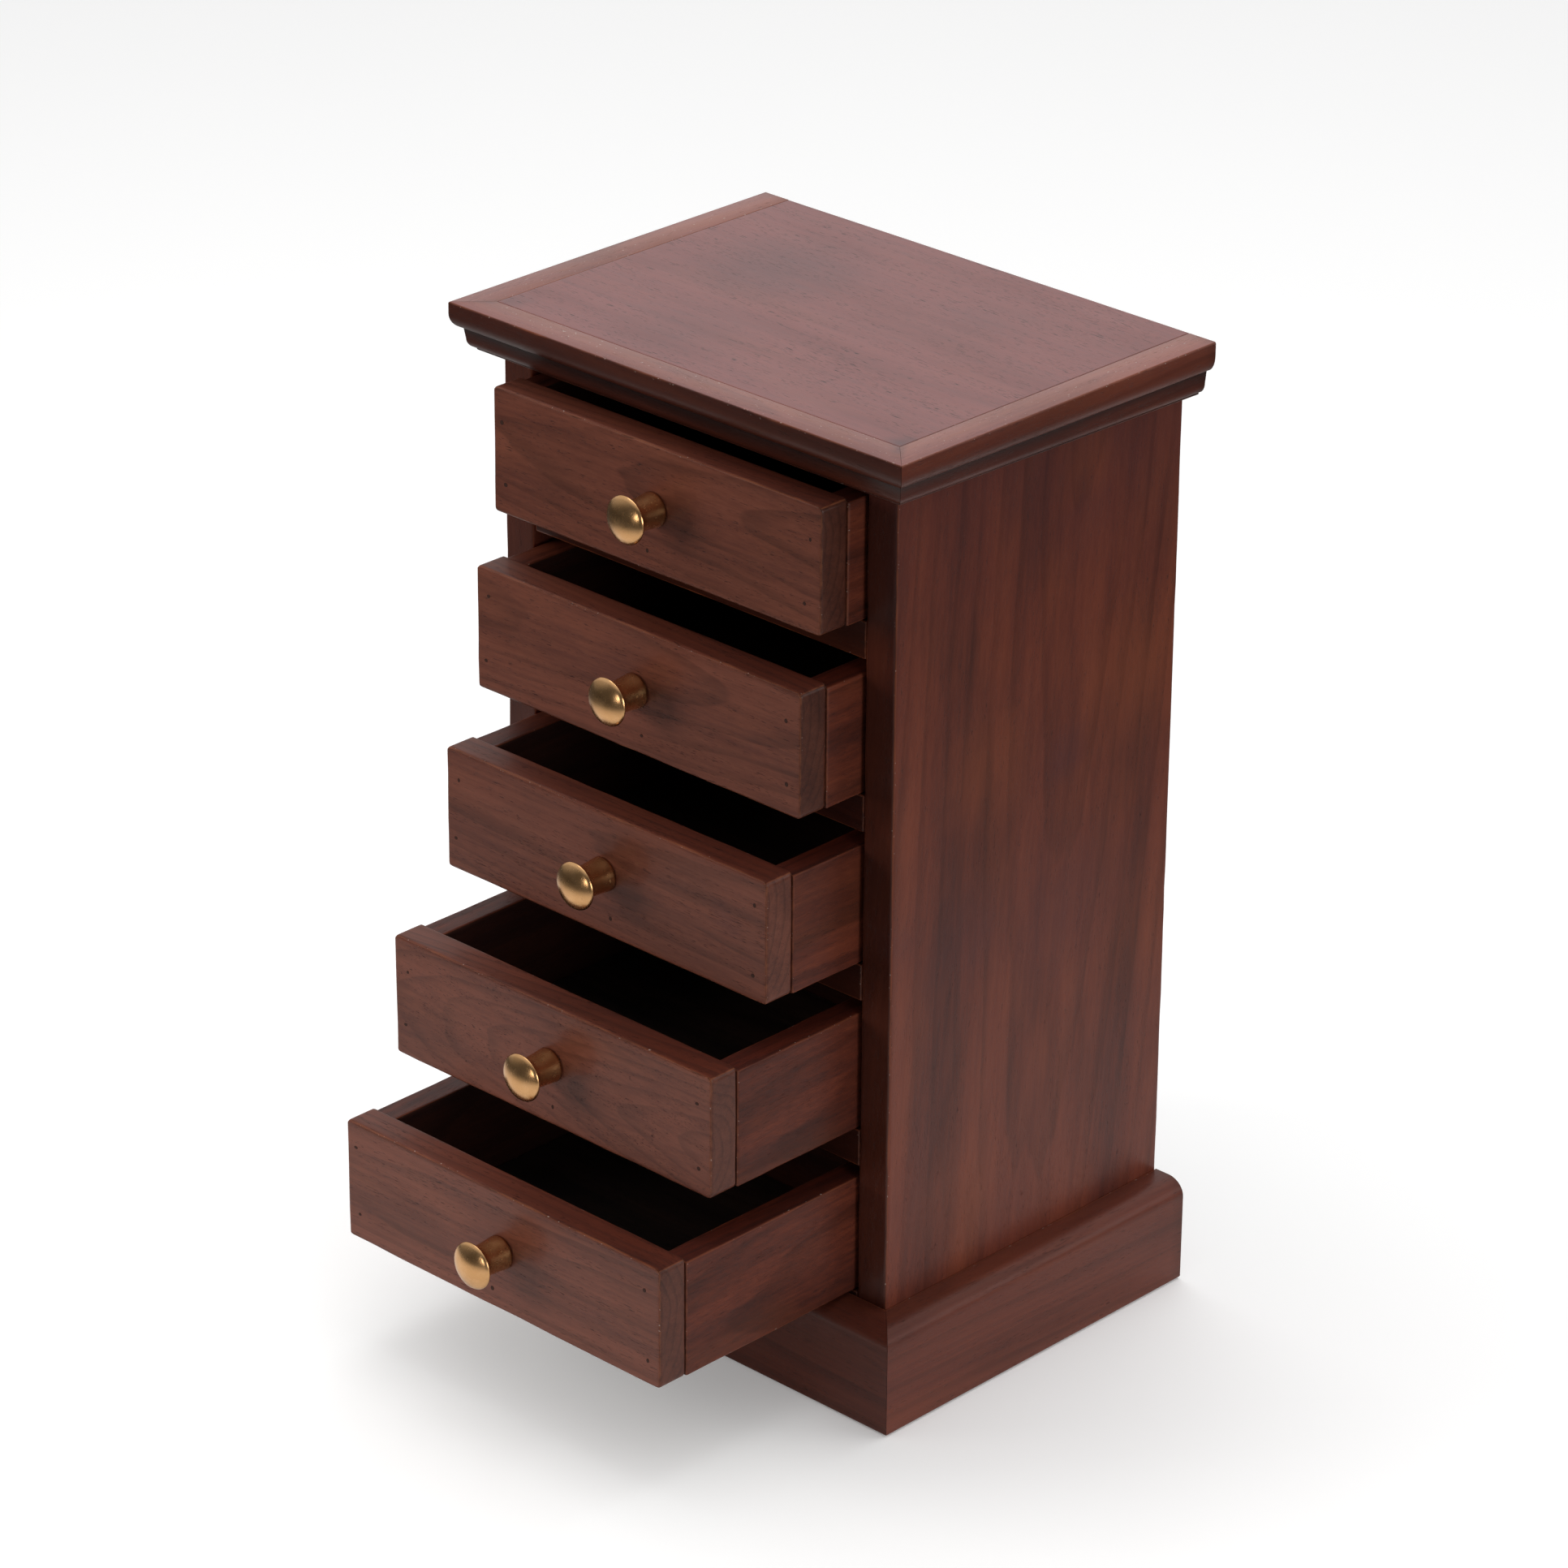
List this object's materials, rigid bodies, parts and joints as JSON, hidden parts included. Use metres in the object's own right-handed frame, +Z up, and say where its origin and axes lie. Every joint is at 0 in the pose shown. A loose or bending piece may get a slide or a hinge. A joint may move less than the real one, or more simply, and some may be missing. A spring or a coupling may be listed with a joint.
{
  "type": "miniature chest of drawers",
  "caption": "Miniature wooden chest of drawers with a moulded cornice and plinth, nailed drawers that slide on dividing boards, and turned brass knobs.",
  "frame": {"origin": "on the floor, under the middle of the whole object's box with the drawers as stored, partly open", "axes": "+Z up, drawers open towards -Y, +X to the right of someone facing the fronts"},
  "size_m": [0.1778, 0.2144, 0.3044],
  "materials": {
    "case_wood": "dark reddish-brown stained hardwood, satin lacquer",
    "top_wood": "reddish-brown stained hardwood, satin lacquer, open pores",
    "front_wood": "reddish-brown stained hardwood, fine straight grain, satin lacquer",
    "drawer_wood": "reddish-brown stained hardwood, thin finish",
    "inside_wood": "dark stained, unpolished",
    "polished_brass": "polished, fine scratches",
    "screw_steel": "plain steel"
  },
  "bodies": {
    "carcase": {"side_panel_left": "case_wood", "side_panel_right": "case_wood", "bottom_board": "case_wood", "divider_1": "case_wood", "divider_2": "case_wood", "divider_3": "case_wood", "divider_4": "case_wood", "case_top_board": "case_wood", "back_panel": "inside_wood", "top_panel": "top_wood", "cornice_front": "case_wood", "cornice_left": "case_wood", "cornice_right": "case_wood", "plinth_front": "case_wood", "plinth_left": "case_wood", "plinth_right": "case_wood"},
    "drawer_1": {"drawer_1_front": "front_wood", "drawer_1_side_left": "drawer_wood", "drawer_1_side_right": "drawer_wood", "drawer_1_back": "drawer_wood", "drawer_1_bottom": "inside_wood", "drawer_1_knob": "polished_brass", "drawer_1_knob_screw": "screw_steel"},
    "drawer_2": {"drawer_2_front": "front_wood", "drawer_2_side_left": "drawer_wood", "drawer_2_side_right": "drawer_wood", "drawer_2_back": "drawer_wood", "drawer_2_bottom": "inside_wood", "drawer_2_knob": "polished_brass", "drawer_2_knob_screw": "screw_steel"},
    "drawer_3": {"drawer_3_front": "front_wood", "drawer_3_side_left": "drawer_wood", "drawer_3_side_right": "drawer_wood", "drawer_3_back": "drawer_wood", "drawer_3_bottom": "inside_wood", "drawer_3_knob": "polished_brass", "drawer_3_knob_screw": "screw_steel"},
    "drawer_4": {"drawer_4_front": "front_wood", "drawer_4_side_left": "drawer_wood", "drawer_4_side_right": "drawer_wood", "drawer_4_back": "drawer_wood", "drawer_4_bottom": "inside_wood", "drawer_4_knob": "polished_brass", "drawer_4_knob_screw": "screw_steel"},
    "drawer_5": {"drawer_5_front": "front_wood", "drawer_5_side_left": "drawer_wood", "drawer_5_side_right": "drawer_wood", "drawer_5_back": "drawer_wood", "drawer_5_bottom": "inside_wood", "drawer_5_knob": "polished_brass", "drawer_5_knob_screw": "screw_steel"}
  },
  "joints": [
    {"name": "drawer_1_slide", "type": "slide", "parent": "carcase", "child": "drawer_1", "axis": [0, -1, 0], "range_m": [-0.0168, 0.0782]},
    {"name": "drawer_2_slide", "type": "slide", "parent": "carcase", "child": "drawer_2", "axis": [0, -1, 0], "range_m": [-0.0244, 0.0706]},
    {"name": "drawer_3_slide", "type": "slide", "parent": "carcase", "child": "drawer_3", "axis": [0, -1, 0], "range_m": [-0.0375, 0.0575]},
    {"name": "drawer_4_slide", "type": "slide", "parent": "carcase", "child": "drawer_4", "axis": [0, -1, 0], "range_m": [-0.0595, 0.0355]},
    {"name": "drawer_5_slide", "type": "slide", "parent": "carcase", "child": "drawer_5", "axis": [0, -1, 0], "range_m": [-0.08, 0.015]}
  ]
}
